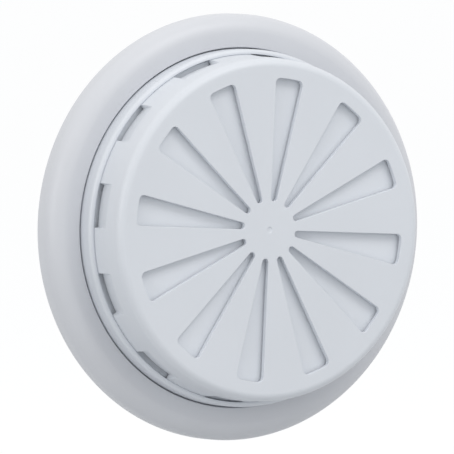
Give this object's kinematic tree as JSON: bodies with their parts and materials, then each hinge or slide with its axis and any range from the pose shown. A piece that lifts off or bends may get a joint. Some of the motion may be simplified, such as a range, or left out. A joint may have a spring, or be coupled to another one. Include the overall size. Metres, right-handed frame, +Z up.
{
  "type": "ventilation grille",
  "caption": "Round white wall grille with a turning cap: wedge openings in its face and scooped slits round its side close against a fixed drum, and a spigot behind it fits a duct.",
  "frame": {"origin": "centre of the flange's back face, on the axis of the spigot", "axes": "+Y along the axis into the wall and duct, the front faces -Y, +Z up, +X to the right seen from the front"},
  "size_m": [0.17, 0.0725, 0.17],
  "materials": {
    "flange_plastic": "satin white",
    "drum_plastic": "satin white",
    "cap_plastic": "satin white",
    "ring_plastic": "satin white",
    "screw_steel": "zinc plated",
    "washer_steel": "zinc plated",
    "spring_steel": "bright stainless",
    "clip_steel": "bright stainless",
    "rivet_metal": "plain",
    "foam": "closed cell foam",
    "screen_wire": "woven stainless wire"
  },
  "bodies": {
    "base": {"wall_flange": "flange_plastic", "shutter_drum": "drum_plastic", "spring_washer": "spring_steel", "wall_gasket": "foam", "screen_ring": "ring_plastic", "insect_screen": "screen_wire", "spring_clip_1": "clip_steel", "spring_clip_2": "clip_steel", "spring_clip_3": "clip_steel", "spring_clip_4": "clip_steel", "clip_rivets": "rivet_metal"},
    "cap": {"front_cap": "cap_plastic", "pivot_screw": "screw_steel", "pivot_washer": "washer_steel"}
  },
  "joints": [
    {"name": "cap_turn", "type": "hinge", "parent": "base", "child": "cap", "pos_m": [0, 0, 0], "axis": [0, -1, 0], "range_deg": [0, 15]}
  ]
}
